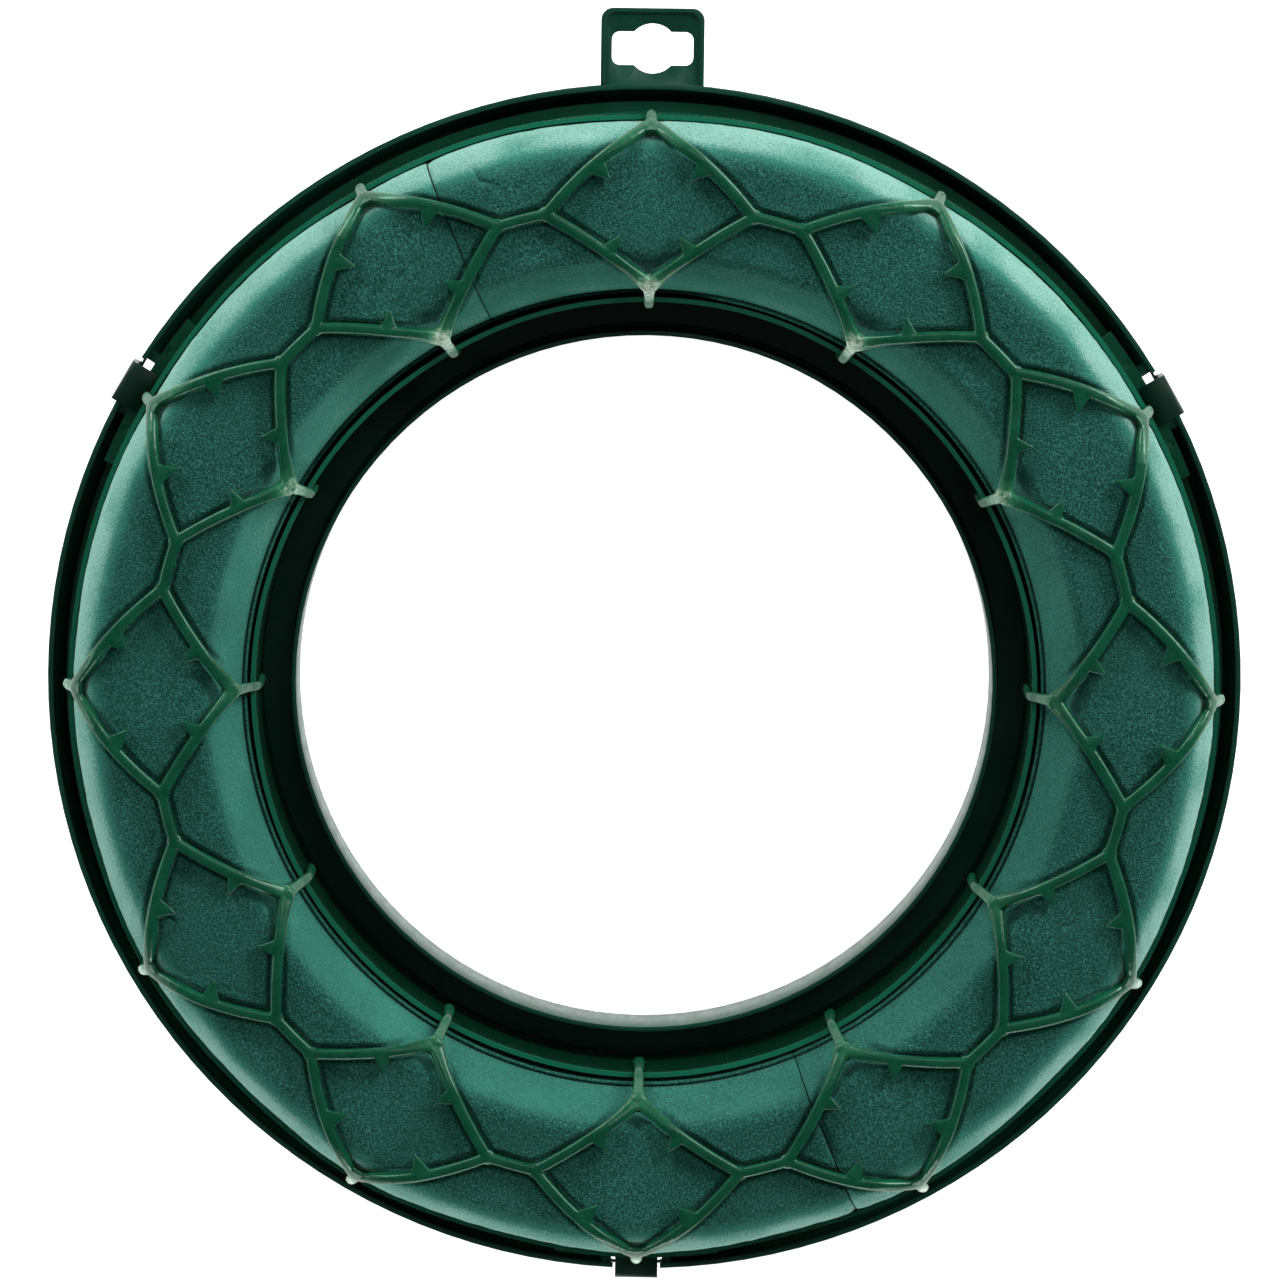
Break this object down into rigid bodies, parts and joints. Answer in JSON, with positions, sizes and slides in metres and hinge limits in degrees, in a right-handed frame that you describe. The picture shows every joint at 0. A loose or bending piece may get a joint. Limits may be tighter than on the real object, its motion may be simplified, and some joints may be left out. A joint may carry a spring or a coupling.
{
  "type": "floral foam ring",
  "caption": "Ring of wet floral foam in a pan under a cage net, clipped into a plastic water tray with an open centre and a hanging tab.",
  "frame": {"origin": "centre of the ring on the surface that the tray stands on", "axes": "+Z along the ring's axis, up out of the foam's top; +Y towards the hanging tab; +X to the right when the tab is at the top"},
  "size_m": [0.3, 0.3198, 0.0491],
  "materials": {
    "tray_plastic": "glossy dark green polypropylene",
    "clip_plastic": "glossy dark green polypropylene",
    "pan_plastic": "satin mid-green plastic",
    "foam": "matte, finely pitted open-cell foam",
    "net_plastic": "slightly translucent green polyethylene, whitened where it is bent"
  },
  "bodies": {
    "tray": {"reservoir_tray": "tray_plastic"},
    "foam_unit": {"foam_pan": "pan_plastic", "foam_half_a": "foam", "foam_half_b": "foam", "cage_net": "net_plastic"},
    "clip_right": {"clip_right": "clip_plastic"},
    "clip_left": {"clip_left": "clip_plastic"},
    "clip_bottom": {"clip_bottom": "clip_plastic"}
  },
  "joints": [
    {"name": "unit_lift", "type": "slide", "parent": "tray", "child": "foam_unit", "axis": [0, 0, 1], "range_m": [0, 0.016]},
    {"name": "clip_right_open", "type": "hinge", "parent": "tray", "child": "clip_right", "pos_m": [0.12904, 0.0745, 0.012], "axis": [-0.5, 0.866, 0], "range_deg": [0, 145]},
    {"name": "clip_left_open", "type": "hinge", "parent": "tray", "child": "clip_left", "pos_m": [-0.12904, 0.0745, 0.012], "axis": [-0.5, -0.866, 0], "range_deg": [0, 145]},
    {"name": "clip_bottom_open", "type": "hinge", "parent": "tray", "child": "clip_bottom", "pos_m": [0, -0.149, 0.012], "axis": [1, 0, 0], "range_deg": [0, 145]}
  ],
  "couplings": [
    {"joint": "clip_right_open", "follows": "unit_lift", "rad_per_m": 157.08},
    {"joint": "clip_left_open", "follows": "unit_lift", "rad_per_m": 157.08},
    {"joint": "clip_bottom_open", "follows": "unit_lift", "rad_per_m": 157.08}
  ]
}
